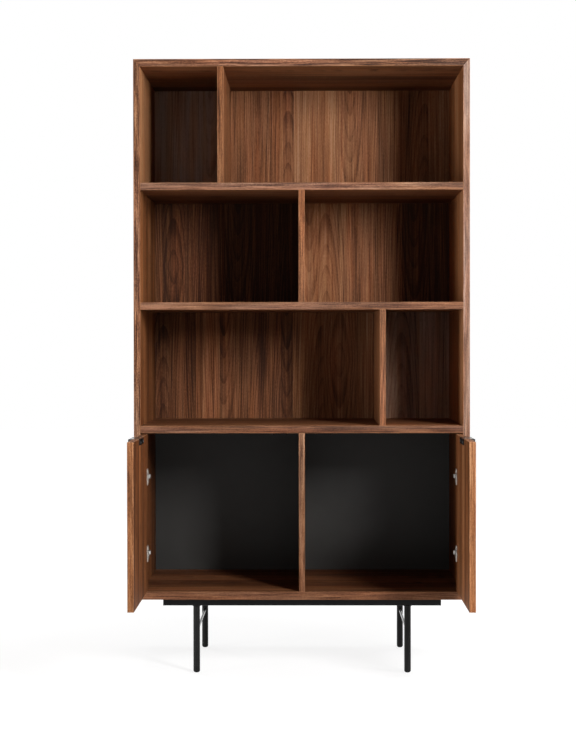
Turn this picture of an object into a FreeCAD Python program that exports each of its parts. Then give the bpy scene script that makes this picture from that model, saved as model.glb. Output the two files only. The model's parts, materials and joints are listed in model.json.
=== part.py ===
import FreeCAD, Part
import math
import os

from FreeCAD import Vector

# A walnut bookcase: three open rows over a two-door cabinet, on a low base of black steel.
# Lengths are in millimetres and angles in degrees. The origin is on the floor under the middle of the
# case, with +X to the right of someone who faces it, +Y towards its back and +Z up.
# Both doors stand open at a right angle, which is where their joints read zero.

# Case
case_width = 900.0
case_depth = 500.0
side_thickness = 18.0
board_thickness = 20.0
bottom_thickness = 22.0
divider_thickness = 16.0
upper_row_height = 310.0
middle_row_height = 300.0
lower_row_height = 311.0
cabinet_height = 425.0
small_bay_width = 207.0
edge_ease = 0.6

# Back panels, held in a rebate round the rear of the case
back_thickness = 8.0
back_inset = 4.0
back_lap = 9.0
back_clearance = 0.5
back_seam = 1.0

# Loose tongues in the mitres, and dowels in the shelves and dividers
spline_width = 11.0
spline_thickness = 4.0
spline_stop = 25.0
dowel_diameter = 8.0
dowel_length = 30.0
dowel_in_face = 10.0
dowel_edge_distance = 70.0
joint_clearance = 0.1
joint_end_clearance = 0.5

# Pan-head wood screws
screw_shank = 3.0
screw_head = 6.5
screw_head_height = 1.8
screw_bite = 10.0
screw_clearance = 0.1
back_screw_end_distance = 70.0
back_screw_spread = 500.0
back_screws_per_side = 4

# Doors
door_thickness = 16.0
door_hinge_gap = 3.0
door_centre_gap = 2.0
door_top_gap = 3.0
door_bottom_gap = 2.0
door_edge_round = 2.0
door_swing_clearance = 0.35
door_open_angle = 90.0

# Stops behind the closed doors, under the lower shelf
stop_length = 40.0
stop_depth = 12.0
stop_height = 6.0
stop_from_divider = 30.0
stop_round = 3.0
stop_clearance = 0.5

# Edge pulls: a bent strip let into the top edge of each door
pull_length = 110.0
pull_thickness = 2.0
pull_flange_height = 16.0
pull_reach = 12.0
pull_lip_height = 7.0
pull_bend = 2.0
pull_side_clearance = 0.3
pull_screw_spacing = 72.0
pull_screw_drop = 9.0

# Cup hinges
hinge_from_top = 116.0
hinge_from_bottom = 104.0
pin_diameter = 2.5
pin_clearance = 0.05
pin_seat = 3.0
eye_wall = 1.0
eye_room = 0.3
arm_height = 10.0
arm_thickness = 2.0
arm_side_room = 0.6
arm_face_room = 2.5
arm_ramp = 12.0
arm_bend = 1.0
arm_screw_shank = 4.0
arm_screw_head = 7.0
cup_diameter = 35.0
cup_wall = 1.0
cup_clearance = 0.1
ear_cover = 0.8
flange_height = 45.0
flange_thickness = 2.5
flange_lip = 1.0
wing_width = 13.0
wing_offset = 9.0
wing_round = 4.0
cup_screw_from_end = 4.0
plate_thickness = 2.0
plate_height = 48.0
plate_width = 14.0
plate_depth = 38.0
plate_round = 3.0
plate_setback = 10.0
plate_screw_spacing = 32.0
ridge_height = 9.0
ridge_width = 12.0

# Base
base_height = 202.0
rail_length = 750.0
rail_size = 20.0
rail_wall = 1.5
rail_round = 2.0
rail_least_inner_round = 0.4
rail_inset = 42.0
cap_plate = 3.0
cap_plug = 12.0
cap_clearance = 0.2
cap_round = 1.5
leg_diameter = 18.0
leg_wall = 1.5
leg_spacing = 570.0
stretcher_diameter = 7.0
stretcher_height = 110.0
weld_gap = 0.05
glide_height = 8.0
glide_round = 6.0
glide_plug = 12.0
glide_clearance = 0.15
base_screw_shank = 5.0
base_screw_head = 9.0
base_screw_head_height = 3.0
base_screw_bite = 14.0
base_screw_spacing = 240.0
base_screw_access = 1.0

# How close two points count as one place, and within what angle an edge counts as along an axis
same_place = 0.02
along_angle = 2.5

# Planes and levels that follow from the sizes above
half_width = case_width / 2
inner_half = half_width - side_thickness
front_y = -case_depth / 2
rear_y = case_depth / 2
back_face_y = rear_y - back_inset - back_thickness
cabinet_floor = base_height + bottom_thickness
cabinet_ceiling = cabinet_floor + cabinet_height
lower_row_floor = cabinet_ceiling + board_thickness
lower_row_ceiling = lower_row_floor + lower_row_height
middle_row_floor = lower_row_ceiling + board_thickness
middle_row_ceiling = middle_row_floor + middle_row_height
upper_row_floor = middle_row_ceiling + board_thickness
upper_row_ceiling = upper_row_floor + upper_row_height
case_top = upper_row_ceiling + board_thickness
seam_level = cabinet_ceiling + board_thickness / 2
small_bay_middle = inner_half - small_bay_width - divider_thickness / 2

# Each shelf by its underside, and each divider by its middle plane, floor and ceiling
shelves = {
    "upper_shelf": middle_row_ceiling,
    "middle_shelf": lower_row_ceiling,
    "lower_shelf": cabinet_ceiling,
}
dividers = {
    "upper_divider": (-small_bay_middle, upper_row_floor, upper_row_ceiling),
    "middle_divider": (0.0, middle_row_floor, middle_row_ceiling),
    "lower_divider": (small_bay_middle, lower_row_floor, lower_row_ceiling),
    "cabinet_divider": (0.0, cabinet_floor, cabinet_ceiling),
}
boards_below = {
    "upper_divider": "upper_shelf",
    "middle_divider": "middle_shelf",
    "lower_divider": "lower_shelf",
    "cabinet_divider": "bottom_panel",
}
boards_above = {
    "upper_divider": "top_panel",
    "middle_divider": "upper_shelf",
    "lower_divider": "middle_shelf",
    "cabinet_divider": "lower_shelf",
}

# The left door, closed, measured as u from the side panel's inner face and v back from the front.
# The hinge axis is at half the door's thickness, and just far enough from the side panel for the
# rounded front edge to swing past it.
door_width = inner_half - divider_thickness / 2 - door_hinge_gap - door_centre_gap
door_bottom = cabinet_floor + door_bottom_gap
door_top = cabinet_ceiling - door_top_gap
pivot_v = door_thickness / 2
edge_run = (pivot_v - door_edge_round) ** 2 / (door_hinge_gap - door_swing_clearance)
pivot_u = door_edge_round + (edge_run + door_hinge_gap + door_swing_clearance) / 2
open_inner_u = pivot_u + door_thickness - pivot_v
rear_edge_reach = pivot_v + math.hypot(pivot_u - door_hinge_gap, door_thickness - pivot_v)
pull_middle_u = door_hinge_gap + door_width / 2
hinge_levels = {
    "upper": cabinet_ceiling - hinge_from_top,
    "lower": cabinet_floor + hinge_from_bottom,
}

# The hinge, from its pin outwards
pin_radius = pin_diameter / 2
eye_radius = pin_radius + pin_clearance + eye_wall
pocket_half = arm_height / 2 + arm_side_room
pin_half = pocket_half + pin_seat
cup_radius = cup_diameter / 2
pocket_radius = cup_radius - cup_wall
pocket_reach = math.sqrt(pocket_radius ** 2 - pocket_half ** 2)
cup_middle_u = pivot_u - eye_radius - eye_room + pocket_reach
pocket_floor_v = pivot_v - eye_radius - eye_room
cup_floor_v = pocket_floor_v - cup_wall
dish_floor_v = pivot_v + pin_radius + ear_cover
flange_face_v = door_thickness + flange_thickness
cup_screw_seat_v = flange_face_v - screw_head_height
arm_leg_u = open_inner_u + flange_thickness + arm_face_room + arm_thickness / 2
arm_foot_u = plate_thickness + ridge_height + arm_thickness / 2
plate_front_v = rear_edge_reach + plate_setback
plate_middle_v = plate_front_v + plate_depth / 2
plate_rear_v = plate_front_v + plate_depth

# Base places
rail_middle_y = case_depth / 2 - rail_inset
rail_bottom = base_height - rail_size
leg_x = leg_spacing / 2

nodes = {}
holes = {}


def block(x0, x1, y0, y1, z0, z1):
    """A box between two opposite corners."""
    return Part.makeBox(x1 - x0, y1 - y0, z1 - z0, Vector(x0, y0, z0))


def bar(start, end, diameter):
    """A round bar from one point to another."""
    run = end - start
    return Part.makeCylinder(diameter / 2, run.Length, start, run)


def prism(points, run):
    """A flat outline carried along a straight run."""
    outline = Part.makePolygon(points + points[:1])
    return Part.Face(outline).extrude(run)


def edges_along(shape, axis):
    """The straight edges of a shape that run along X, Y or Z."""
    least = math.cos(math.radians(along_angle))
    found = []
    for edge in shape.Edges:
        ends = edge.Vertexes
        if len(ends) == 2 and abs((ends[1].Point - ends[0].Point).normalize().dot(axis)) > least:
            found.append(edge)
    return found


def mirrored(shape):
    """The same shape on the other side of the middle plane."""
    return shape.mirror(Vector(0, 0, 0), Vector(1, 0, 0))


def drill(board, hole):
    """Keeps a hole for the board that it is made in."""
    holes.setdefault(board, []).append(hole)


def drilled(board, shape):
    """The board's shape with all of its holes."""
    if board not in holes:
        return shape
    return shape.cut(holes[board]).Solids[0]


def near_side(u, v, z):
    """A point of the left half of the cabinet, from the side panel and the front."""
    return Vector(u - inner_half, front_y + v, z)


def turned_open(shape):
    """A piece of the left door, swung from closed to the place where it rests."""
    swung = shape.copy()
    swung.rotate(near_side(pivot_u, pivot_v, 0), Vector(0, 0, 1), -door_open_angle)
    return swung


def screw(seat, inward, length):
    """A pan-head wood screw whose head sits on the seat."""
    head = bar(seat, seat - inward * screw_head_height, screw_head)
    shank = bar(seat, seat + inward * length, screw_shank)
    return head.fuse(shank).removeSplitter()


def screw_hole(seat, inward, length):
    """The hole that a wood screw's shank goes into."""
    end = seat + inward * (length + joint_end_clearance)
    return bar(seat, end, screw_shank + 2 * screw_clearance)


# Joinery


def make_corner_splines():
    """A stopped tongue across the mitre at each corner of the case."""
    splines = []
    corners = [
        ("bottom_panel", base_height, cabinet_floor),
        ("top_panel", case_top, upper_row_ceiling),
    ]
    start_y = front_y + spline_stop
    run = back_face_y - spline_stop - start_y
    for board, outer_z, inner_z in corners:
        middle = Vector(-(half_width + inner_half) / 2, start_y, (outer_z + inner_z) / 2)
        along = Vector(side_thickness, 0, inner_z - outer_z).normalize()
        across = Vector(along.z, 0, -along.x)
        spline = tongue(middle, along, across, 0.0, run)
        slot = tongue(middle, along, across, joint_clearance, run)
        splines += [spline, mirrored(spline)]
        drill(board, slot)
        drill(board, mirrored(slot))
        drill("side_panel_left", slot)
        drill("side_panel_right", mirrored(slot))
    nodes["corner_splines"] = Part.makeCompound(splines)


def tongue(middle, along, across, room, run):
    """A flat strip that crosses a mitre square to it, with some room on every long side."""
    half_along = along * (spline_thickness / 2 + room)
    half_across = across * (spline_width / 2 + room)
    outline = [
        middle - half_along - half_across,
        middle + half_along - half_across,
        middle + half_along + half_across,
        middle - half_along + half_across,
    ]
    return prism(outline, Vector(0, run, 0))


def dowel_joint(face_board, end_board, point, inward):
    """A dowel from the face of one board into the end of another, and its two holes."""
    deep = point - inward * dowel_in_face
    far = deep + inward * dowel_length
    hole_diameter = dowel_diameter + 2 * joint_clearance
    drill(face_board, bar(point, deep - inward * joint_end_clearance, hole_diameter))
    drill(end_board, bar(point, far + inward * joint_end_clearance, hole_diameter))
    return bar(deep, far, dowel_diameter)


def make_dowels():
    """Dowels from the sides into the shelves, and from shelves and panels into the dividers."""
    rows = [front_y + dowel_edge_distance, back_face_y - dowel_edge_distance]
    in_shelves = []
    in_dividers = []
    for y in rows:
        for shelf, underside in shelves.items():
            level = underside + board_thickness / 2
            left = Vector(-inner_half, y, level)
            right = Vector(inner_half, y, level)
            in_shelves.append(dowel_joint("side_panel_left", shelf, left, Vector(1, 0, 0)))
            in_shelves.append(dowel_joint("side_panel_right", shelf, right, Vector(-1, 0, 0)))
        for divider, (x, floor, ceiling) in dividers.items():
            below = Vector(x, y, floor)
            above = Vector(x, y, ceiling)
            in_dividers.append(dowel_joint(boards_below[divider], divider, below, Vector(0, 0, 1)))
            in_dividers.append(dowel_joint(boards_above[divider], divider, above, Vector(0, 0, -1)))
    nodes["shelf_dowels"] = Part.makeCompound(in_shelves)
    nodes["divider_dowels"] = Part.makeCompound(in_dividers)


def make_back_screws():
    """Screws through the back panels into the sides and the two upper shelves."""
    seat_y = rear_y - back_inset
    forward = Vector(0, -1, 0)
    length = back_thickness + screw_bite
    side_x = inner_half + back_lap / 2
    upper_low = seam_level + back_screw_end_distance
    upper_high = upper_row_ceiling - back_screw_end_distance
    rise = (upper_high - upper_low) / (back_screws_per_side - 1)
    places = []
    for side, board in ((-1, "side_panel_left"), (1, "side_panel_right")):
        for step in range(back_screws_per_side):
            places.append((side * side_x, upper_low + step * rise, "upper_back_panel", board))
        for level in (cabinet_floor + back_screw_end_distance, seam_level - back_screw_end_distance):
            places.append((side * side_x, level, "cabinet_back_panel", board))
        for shelf in ("upper_shelf", "middle_shelf"):
            level = shelves[shelf] + board_thickness / 2
            places.append((side * back_screw_spread / 2, level, "upper_back_panel", shelf))
    screws = []
    for x, z, panel, board in places:
        seat = Vector(x, seat_y, z)
        hole = screw_hole(seat, forward, length)
        drill(panel, hole)
        drill(board, hole)
        screws.append(screw(seat, forward, length))
    nodes["back_screws"] = Part.makeCompound(screws)


# Case boards


def back_recess():
    """The rebate round the rear of the case that the back panels lie in."""
    lap = back_lap + back_clearance
    return block(
        -inner_half - lap, inner_half + lap,
        back_face_y, rear_y + back_inset,
        cabinet_floor - lap, upper_row_ceiling + lap,
    )


def eased(board):
    """A board with the sharpness taken off its two long front edges."""
    front_edges = [edge for edge in board.Edges if edge.BoundBox.YMax < front_y + edge_ease]
    front_edges.sort(key=lambda edge: edge.Length)
    return board.makeChamfer(edge_ease, front_edges[-2:])


def make_outer_boards():
    """The two sides, the top and the bottom, mitred together at the corners."""
    run = Vector(0, case_depth, 0)
    side = [
        Vector(-half_width, front_y, base_height),
        Vector(-inner_half, front_y, cabinet_floor),
        Vector(-inner_half, front_y, upper_row_ceiling),
        Vector(-half_width, front_y, case_top),
    ]
    top = [
        Vector(-half_width, front_y, case_top),
        Vector(half_width, front_y, case_top),
        Vector(inner_half, front_y, upper_row_ceiling),
        Vector(-inner_half, front_y, upper_row_ceiling),
    ]
    bottom = [
        Vector(-half_width, front_y, base_height),
        Vector(half_width, front_y, base_height),
        Vector(inner_half, front_y, cabinet_floor),
        Vector(-inner_half, front_y, cabinet_floor),
    ]
    left_side = eased(prism(side, run)).cut(back_recess())
    shapes = {
        "side_panel_left": left_side,
        "side_panel_right": mirrored(left_side),
        "top_panel": eased(prism(top, run)).cut(back_recess()),
        "bottom_panel": eased(prism(bottom, run)).cut(back_recess()),
    }
    for board, shape in shapes.items():
        nodes[board] = drilled(board, shape)


def make_shelves():
    """Fixed shelves between the sides, flush with the front."""
    for shelf, underside in shelves.items():
        board = block(
            -inner_half, inner_half, front_y, back_face_y, underside, underside + board_thickness
        )
        nodes[shelf] = drilled(shelf, eased(board))


def make_dividers():
    """Upright dividers between the shelves, flush with the front."""
    for divider, (x, floor, ceiling) in dividers.items():
        half = divider_thickness / 2
        board = block(x - half, x + half, front_y, back_face_y, floor, ceiling)
        nodes[divider] = drilled(divider, eased(board))


def make_back_panels():
    """The walnut back of the open rows and the dark back of the cabinet, parted behind a shelf."""
    half = inner_half + back_lap
    spans = {
        "upper_back_panel": (seam_level + back_seam / 2, upper_row_ceiling + back_lap),
        "cabinet_back_panel": (cabinet_floor - back_lap, seam_level - back_seam / 2),
    }
    for panel, (low, high) in spans.items():
        board = block(-half, half, back_face_y, back_face_y + back_thickness, low, high)
        nodes[panel] = drilled(panel, board)


# Hinges


def upright_edges_at(shape, places):
    """The upright edges of a shape that stand on one of the given places in plan."""
    found = []
    for edge in edges_along(shape, Vector(0, 0, 1)):
        foot = edge.Vertexes[0].Point
        if any(math.hypot(foot.x - place.x, foot.y - place.y) < same_place for place in places):
            found.append(edge)
    return found


def bent_strip(path):
    """A strip stood on edge along a bent path in plan, with the outside of each bend rounded more."""
    runs = [end - start for start, end in zip(path, path[1:])]
    normals = [Vector(-run.y, run.x, 0).normalize() for run in runs]
    drop = Vector(0, 0, arm_height / 2)
    left = []
    right = []
    for point, before, after in zip(path, normals[:1] + normals, normals + normals[-1:]):
        mitre = before + after
        offset = mitre * (arm_thickness / mitre.dot(mitre))
        left.append(point + offset - drop)
        right.append(point - offset - drop)
    insides = []
    outsides = []
    for index, (before, after) in enumerate(zip(runs, runs[1:]), start=1):
        bends_left = before.cross(after).z > 0
        insides.append(left[index] if bends_left else right[index])
        outsides.append(right[index] if bends_left else left[index])
    strip = prism(left + right[::-1], Vector(0, 0, arm_height))
    strip = strip.makeFillet(arm_bend, upright_edges_at(strip, insides))
    return strip.makeFillet(arm_bend + arm_thickness, upright_edges_at(strip, outsides))


def hinge_arm(level):
    """The fixed arm: an eye round the pin, a cranked strip out of the cup, and a foot on the plate."""
    path = [
        near_side(pivot_u, pivot_v, level),
        near_side(arm_leg_u, pivot_v, level),
        near_side(arm_leg_u, plate_front_v - arm_ramp / 2, level),
        near_side(arm_foot_u, plate_front_v + arm_ramp / 2, level),
        near_side(arm_foot_u, plate_rear_v, level),
    ]
    strip = bent_strip(path)
    low = near_side(pivot_u, pivot_v, level - arm_height / 2)
    high = near_side(pivot_u, pivot_v, level + arm_height / 2)
    bore = bar(low, high, pin_diameter + 2 * pin_clearance)
    return strip.fuse(bar(low, high, 2 * eye_radius)).cut(bore).removeSplitter()


def hinge_pin(level):
    """The pin that the door turns on, held in the cup at both ends."""
    low = near_side(pivot_u, pivot_v, level - pin_half)
    return bar(low, near_side(pivot_u, pivot_v, level + pin_half), pin_diameter)


def upright_plate(u0, u1, v0, v1, level, height, corner_round, corner_axis):
    """A rectangular plate stood upright, with four of its corners rounded."""
    low = near_side(u0, v0, level - height / 2)
    plate = Part.makeBox(u1 - u0, v1 - v0, height, low)
    return plate.makeFillet(corner_round, edges_along(plate, corner_axis))


def cup_disc(diameter, v0, v1, level):
    """A disc in the plane of the door, round the middle of a cup."""
    return bar(near_side(cup_middle_u, v0, level), near_side(cup_middle_u, v1, level), diameter)


def cup_screw_seats(level):
    """Where the heads of the two screws of a cup sit, sunk flush in its flange."""
    rise = flange_height / 2 - cup_screw_from_end
    u = cup_middle_u + wing_offset
    return [near_side(u, cup_screw_seat_v, level + side * rise) for side in (-1, 1)]


def hinge_cup(level):
    """A pressed cup with a winged flange, a dish, and a slot between two ears for the arm."""
    wing_u = cup_middle_u + wing_offset
    wings = upright_plate(
        wing_u - wing_width / 2, wing_u + wing_width / 2, door_thickness, flange_face_v,
        level, flange_height, wing_round, Vector(0, 1, 0),
    )
    rim = cup_disc(cup_diameter + 2 * flange_lip, door_thickness, flange_face_v, level)
    body = cup_disc(cup_diameter, cup_floor_v, door_thickness, level)
    dish = cup_disc(2 * pocket_radius, dish_floor_v, flange_face_v, level)
    pocket = cup_disc(2 * pocket_radius, pocket_floor_v, flange_face_v, level)
    slot_low = near_side(0, 0, level - pocket_half)
    slot = Part.makeBox(2 * cup_middle_u, 2 * flange_face_v, 2 * pocket_half, slot_low)
    bore_half = pin_half + pin_clearance
    bore = bar(
        near_side(pivot_u, pivot_v, level - bore_half),
        near_side(pivot_u, pivot_v, level + bore_half),
        pin_diameter + 2 * pin_clearance,
    )
    shell = body.fuse([rim, wings]).removeSplitter()
    cuts = [dish, pocket.common(slot), bore]
    for seat in cup_screw_seats(level):
        cuts.append(screw_hole(seat, Vector(0, -1, 0), flange_thickness))
        cuts.append(bar(seat, seat + Vector(0, flange_thickness, 0), screw_head + 2 * screw_clearance))
    return shell.cut(cuts).Solids[0]


def plate_screw_seats(level):
    """Where the two screws of a mounting plate sit on it."""
    rise = plate_screw_spacing / 2
    return [near_side(plate_thickness, plate_middle_v, level + side * rise) for side in (-1, 1)]


def arm_screw(level):
    """The screw that clamps the arm's foot to the plate."""
    seat = near_side(arm_foot_u + arm_thickness / 2, plate_middle_v, level)
    head = bar(seat, seat + Vector(screw_head_height, 0, 0), arm_screw_head)
    shank = bar(seat, seat - Vector(arm_thickness + ridge_height, 0, 0), arm_screw_shank)
    return head.fuse(shank).removeSplitter()


def arm_screw_hole(level):
    """The hole for the clamping screw, through the foot and down the ridge to the plate."""
    seat = near_side(arm_foot_u + arm_thickness, plate_middle_v, level)
    end = near_side(plate_thickness, plate_middle_v, level)
    return bar(seat, end, arm_screw_shank + 2 * screw_clearance)


def hinge_plate(level):
    """A cross-shaped mounting plate with a raised ridge for the arm."""
    upright = upright_plate(
        0, plate_thickness, plate_middle_v - plate_width / 2, plate_middle_v + plate_width / 2,
        level, plate_height, plate_round, Vector(1, 0, 0),
    )
    sole = upright_plate(
        0, plate_thickness, plate_front_v, plate_rear_v,
        level, plate_width, plate_round, Vector(1, 0, 0),
    )
    ridge = block(
        -inner_half + plate_thickness, -inner_half + plate_thickness + ridge_height,
        front_y + plate_front_v, front_y + plate_rear_v,
        level - ridge_width / 2, level + ridge_width / 2,
    )
    plate = upright.fuse([sole, ridge]).removeSplitter()
    cuts = [screw_hole(seat, Vector(-1, 0, 0), plate_thickness) for seat in plate_screw_seats(level)]
    return plate.cut(cuts + [arm_screw_hole(level)]).Solids[0]


def make_hinges():
    """Two hinges for each door: arm and plate stay on the case, cup and pin go with the door."""
    plate_screws = []
    arm_screws = []
    cup_screws = []
    outward = Vector(-1, 0, 0)
    into_door = Vector(0, -1, 0)
    plate_screw_length = plate_thickness + screw_bite
    cup_screw_length = cup_screw_seat_v - door_thickness + screw_bite
    for place, level in hinge_levels.items():
        pieces = {
            "hinge_arm": hinge_arm(level).cut(arm_screw_hole(level)).Solids[0],
            "hinge_plate": hinge_plate(level),
            "hinge_cup": turned_open(hinge_cup(level)),
            "hinge_pin": turned_open(hinge_pin(level)),
        }
        for name, shape in pieces.items():
            nodes[f"{name}_{place}_left"] = shape
            nodes[f"{name}_{place}_right"] = mirrored(shape)
        arm_screws.append(arm_screw(level))
        for seat in plate_screw_seats(level):
            hole = screw_hole(seat, outward, plate_screw_length)
            drill("side_panel_left", hole)
            drill("side_panel_right", mirrored(hole))
            plate_screws.append(screw(seat, outward, plate_screw_length))
        for seat in cup_screw_seats(level):
            drill("door", screw_hole(seat, into_door, cup_screw_length))
            cup_screws.append(turned_open(screw(seat, into_door, cup_screw_length)))
        drill("door", cup_disc(
            cup_diameter + 2 * cup_clearance, cup_floor_v - cup_clearance, flange_face_v, level
        ))
    nodes["hinge_plate_screws"] = Part.makeCompound(plate_screws + [mirrored(s) for s in plate_screws])
    nodes["hinge_arm_screws"] = Part.makeCompound(arm_screws + [mirrored(s) for s in arm_screws])
    nodes["cup_screws_left"] = Part.makeCompound(cup_screws)
    nodes["cup_screws_right"] = Part.makeCompound([mirrored(s) for s in cup_screws])


# Doors and pulls


def door_pull():
    """A strip bent over the door's top edge: a flange behind, a tread on top and a lip in front."""
    start_u = pull_middle_u - pull_length / 2
    rear_v = door_thickness + pull_thickness
    tread_z = door_top - pull_thickness
    lip_back_v = -pull_reach + pull_thickness
    outline = [
        (rear_v, door_top),
        (-pull_reach, door_top),
        (-pull_reach, door_top - pull_lip_height),
        (lip_back_v, door_top - pull_lip_height),
        (lip_back_v, tread_z),
        (door_thickness, tread_z),
        (door_thickness, door_top - pull_flange_height),
        (rear_v, door_top - pull_flange_height),
    ]
    points = [near_side(start_u, v, z) for v, z in outline]
    strip = prism(points, Vector(pull_length, 0, 0))
    bends = [
        edge for edge in edges_along(strip, Vector(1, 0, 0))
        if abs(edge.Vertexes[0].Z - door_top) < pull_thickness / 2
    ]
    return strip.makeFillet(pull_bend, bends)


def make_pulls():
    """One pull at the middle of each door's top edge, with two screws from behind."""
    pull = door_pull()
    screws = []
    into_door = Vector(0, -1, 0)
    length = pull_thickness + screw_bite
    for side in (-1, 1):
        u = pull_middle_u + side * pull_screw_spacing / 2
        seat = near_side(u, door_thickness + pull_thickness, door_top - pull_screw_drop)
        hole = screw_hole(seat, into_door, length)
        pull = pull.cut(hole)
        drill("door", hole)
        screws.append(turned_open(screw(seat, into_door, length)))
    half = pull_length / 2 + pull_side_clearance
    drill("door", block(
        -inner_half + pull_middle_u - half, -inner_half + pull_middle_u + half,
        front_y - pull_reach, front_y + rear_edge_reach,
        door_top - pull_thickness, cabinet_ceiling,
    ))
    opened = turned_open(pull.Solids[0])
    nodes["door_pull_left"] = opened
    nodes["door_pull_right"] = mirrored(opened)
    nodes["pull_screws_left"] = Part.makeCompound(screws)
    nodes["pull_screws_right"] = Part.makeCompound([mirrored(s) for s in screws])


def make_doors():
    """Two inset doors, with a rounded front edge where they pass the side panels."""
    far_u = door_hinge_gap + door_width
    outline = [
        near_side(door_hinge_gap, 0, door_bottom),
        near_side(far_u, 0, door_bottom),
        near_side(far_u, door_thickness, door_bottom),
        near_side(door_hinge_gap, door_thickness, door_bottom),
    ]
    slab = prism(outline, Vector(0, 0, door_top - door_bottom))
    hinge_edges = [
        edge for edge in edges_along(slab, Vector(0, 0, 1))
        if edge.BoundBox.YMax < front_y + pivot_v and edge.BoundBox.XMax < -inner_half + pivot_u
    ]
    leaf = drilled("door", slab.makeFillet(door_edge_round, hinge_edges))
    opened = turned_open(leaf)
    nodes["door_left"] = opened
    nodes["door_right"] = mirrored(opened)


def make_door_stops():
    """A block under the lower shelf that each door closes against."""
    near = divider_thickness / 2 + stop_from_divider
    front = front_y + door_thickness + stop_clearance
    stop = block(
        -near - stop_length, -near, front, front + stop_depth,
        cabinet_ceiling - stop_height, cabinet_ceiling,
    )
    rounded = stop.makeFillet(stop_round, edges_along(stop, Vector(0, 0, 1)))
    nodes["door_stop_left"] = rounded
    nodes["door_stop_right"] = mirrored(rounded)


# Base


def square_tube(start, run):
    """A square tube with rounded corners, whose section is centred on its start."""
    def bar_of(size, corner_round):
        half = size / 2
        axis = Vector(run).normalize()
        across = Vector(axis.y, axis.x, 0)
        rise = Vector(0, 0, half)
        corners = [
            start - across * half - rise,
            start + across * half - rise,
            start + across * half + rise,
            start - across * half + rise,
        ]
        solid = prism(corners, run)
        return solid.makeFillet(corner_round, edges_along(solid, axis))

    outer = bar_of(rail_size, rail_round)
    inner = bar_of(rail_size - 2 * rail_wall, max(rail_round - rail_wall, rail_least_inner_round))
    return outer.cut(inner)


def end_cap(y):
    """A plug for the left end of a rail, with a rounded outer face."""
    half = rail_size / 2
    plug_half = half - rail_wall - cap_clearance
    left = -rail_length / 2
    middle = rail_bottom + half
    face = block(left, left + cap_plate, y - half, y + half, rail_bottom, base_height)
    outer_edges = [edge for edge in face.Edges if edge.BoundBox.XMax < left + cap_plate / 2]
    face = face.makeFillet(cap_round, outer_edges)
    plug = block(
        left + cap_plate, left + cap_plate + cap_plug,
        y - plug_half, y + plug_half, middle - plug_half, middle + plug_half,
    )
    return face.fuse(plug)


def make_rails():
    """Front and rear rails with capped ends, and the two cross rails welded between them."""
    level = rail_bottom + rail_size / 2
    tube_length = rail_length - 2 * cap_plate
    caps = []
    for place, y in (("front_rail", -rail_middle_y), ("rear_rail", rail_middle_y)):
        nodes[place] = square_tube(Vector(-tube_length / 2, y, level), Vector(tube_length, 0, 0))
        cap = end_cap(y)
        caps += [cap, mirrored(cap)]
    nodes["rail_end_caps"] = Part.makeCompound(caps)
    inner_y = rail_middle_y - rail_size / 2
    for place, x in (("left_cross_rail", -leg_x), ("right_cross_rail", leg_x)):
        tube = square_tube(Vector(x, -inner_y, level), Vector(0, 2 * inner_y, 0))
        nodes[place] = drilled(place, tube)


def make_base_screws():
    """Machine screws up through the cross rails into the bottom panel."""
    up = Vector(0, 0, 1)
    seat_z = base_height - rail_wall
    screws = []
    for place, x in (("left_cross_rail", -leg_x), ("right_cross_rail", leg_x)):
        for side in (-1, 1):
            y = side * base_screw_spacing / 2
            seat = Vector(x, y, seat_z)
            tip = seat + up * (rail_wall + base_screw_bite)
            head = bar(seat - up * base_screw_head_height, seat, base_screw_head)
            screws.append(head.fuse(bar(seat, tip, base_screw_shank)).removeSplitter())
            hole = bar(seat, tip + up * joint_end_clearance, base_screw_shank + 2 * screw_clearance)
            access = bar(
                Vector(x, y, rail_bottom), Vector(x, y, rail_bottom + rail_wall),
                base_screw_head + 2 * base_screw_access,
            )
            drill(place, hole)
            drill(place, access)
            drill("bottom_panel", hole)
    nodes["base_screws"] = Part.makeCompound(screws)


def make_legs():
    """Four round tube legs, a stretcher between each pair, and a glide in each foot."""
    glides = []
    for side, x in (("left", -leg_x), ("right", leg_x)):
        for place, y in (("front", -rail_middle_y), ("rear", rail_middle_y)):
            foot = Vector(x, y, glide_height)
            head = Vector(x, y, rail_bottom)
            tube = bar(foot, head, leg_diameter)
            nodes[f"leg_{place}_{side}"] = tube.cut(bar(foot, head, leg_diameter - 2 * leg_wall))
            glides.append(foot_glide(x, y))
        front = Vector(x, -rail_middle_y, stretcher_height)
        rear = Vector(x, rail_middle_y, stretcher_height)
        rise = Vector(0, 0, stretcher_diameter)
        ends = [bar(end - rise, end + rise, leg_diameter + 2 * weld_gap) for end in (front, rear)]
        nodes[f"stretcher_{side}"] = bar(front, rear, stretcher_diameter).cut(ends)
    nodes["foot_glides"] = Part.makeCompound(glides)


def foot_glide(x, y):
    """A round-edged glide with a plug that fits inside the leg."""
    disc = bar(Vector(x, y, 0), Vector(x, y, glide_height), leg_diameter)
    rim = [edge for edge in disc.Edges if edge.BoundBox.ZMax < glide_height / 2]
    plug_diameter = leg_diameter - 2 * leg_wall - 2 * glide_clearance
    plug = bar(Vector(x, y, glide_height), Vector(x, y, glide_height + glide_plug), plug_diameter)
    return disc.makeFillet(glide_round, rim).fuse(plug)


def main():
    """Makes every piece, joinery and hardware first so that the boards get their holes."""
    make_corner_splines()
    make_dowels()
    make_back_screws()
    make_hinges()
    make_pulls()
    make_base_screws()
    make_outer_boards()
    make_shelves()
    make_dividers()
    make_back_panels()
    make_doors()
    make_door_stops()
    make_rails()
    make_legs()
    os.makedirs("parts", exist_ok=True)
    for name, shape in nodes.items():
        shape.exportStep(f"parts/{name}.step")
    print(len(nodes), "nodes written")


main()
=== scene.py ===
"""Looks of a walnut bookcase with two cabinet doors on a black steel base."""

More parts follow.
